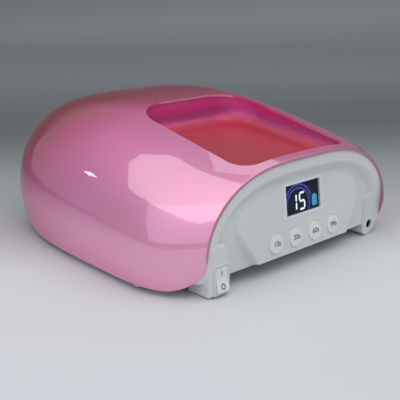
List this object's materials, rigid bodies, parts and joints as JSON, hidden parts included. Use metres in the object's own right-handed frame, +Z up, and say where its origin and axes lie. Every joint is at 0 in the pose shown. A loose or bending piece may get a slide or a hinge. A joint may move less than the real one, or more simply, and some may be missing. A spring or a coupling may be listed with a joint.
{
  "type": "nail curing lamp",
  "caption": "Table-top nail curing lamp with a pillow-shaped hood, recessed carrying handle, leaning control panel with display, time buttons, rocker switch and power inlet.",
  "frame": {"origin": "on the table, under the middle of the lamp's bounding box", "axes": "+X across the lamp to the right as seen from the control side, +Y towards the side the hand enters, +Z up; the control panel faces -Y"},
  "size_m": [0.2356, 0.2192, 0.103],
  "materials": {
    "shell_pink": "pearl gloss",
    "tub_pink": "gloss",
    "panel_white": "satin moulding",
    "display_border": "gloss",
    "display_glass": "clear",
    "display_black": "gloss",
    "button_white": "satin",
    "switch_black": "satin",
    "board_green": "solder mask",
    "board_white": "white solder mask",
    "led_lens": "clear dome",
    "screw_steel": "plated",
    "contact_brass": "plated",
    "foot_rubber": "matt",
    "cell_wrap": "shrink wrap over a metal can",
    "coil_ferrite": "ferrite and lacquered wire",
    "reflector_silver": "vacuum-metallised"
  },
  "bodies": {
    "housing": {"base_frame": "panel_white", "base_screws": "screw_steel", "battery_cells": "cell_wrap", "battery_holder_left": "switch_black", "battery_holder_right": "switch_black", "board_screws": "screw_steel", "control_board": "board_green", "dc_pin": "contact_brass", "dc_socket": "switch_black", "display_frame": "display_border", "display_window": "display_glass", "driver_board": "board_green", "driver_coils": "coil_ferrite", "front_frame": "panel_white", "hand_sensor": "switch_black", "handle_tub": "tub_pink", "lcd_module": "display_black", "led_beads_left": "led_lens", "led_beads_right": "led_lens", "led_beads_top": "led_lens", "led_board_left": "board_white", "led_board_right": "board_white", "led_board_top": "board_white", "outer_shell": "shell_pink", "rear_panel": "panel_white", "reflector_vault": "reflector_silver", "rocker_housing": "panel_white", "rocker_terminals": "contact_brass", "rubber_feet": "foot_rubber", "tact_switches": "switch_black"},
    "button_1": {"time_button_1": "button_white", "switch_plunger_1": "switch_black"},
    "button_2": {"time_button_2": "button_white", "switch_plunger_2": "switch_black"},
    "button_3": {"time_button_3": "button_white", "switch_plunger_3": "switch_black"},
    "button_4": {"time_button_4": "button_white", "switch_plunger_4": "switch_black"},
    "rocker": {"rocker_button": "button_white"}
  },
  "joints": [
    {"name": "button_1_press", "type": "slide", "parent": "housing", "child": "button_1", "axis": [0, 0.9936, -0.1132], "range_m": [0, 0.0008], "stiffness_N_per_m": 400, "springref_m": -0.001},
    {"name": "button_2_press", "type": "slide", "parent": "housing", "child": "button_2", "axis": [0, 0.9936, -0.1132], "range_m": [0, 0.0008], "stiffness_N_per_m": 400, "springref_m": -0.001},
    {"name": "button_3_press", "type": "slide", "parent": "housing", "child": "button_3", "axis": [0, 0.9936, -0.1132], "range_m": [0, 0.0008], "stiffness_N_per_m": 400, "springref_m": -0.001},
    {"name": "button_4_press", "type": "slide", "parent": "housing", "child": "button_4", "axis": [0, 0.9936, -0.1132], "range_m": [0, 0.0008], "stiffness_N_per_m": 400, "springref_m": -0.001},
    {"name": "rocker_tilt", "type": "hinge", "parent": "housing", "child": "rocker", "pos_m": [-0.0806, -0.1054, 0.0116], "axis": [1, 0, 0], "range_deg": [0, 18]}
  ]
}
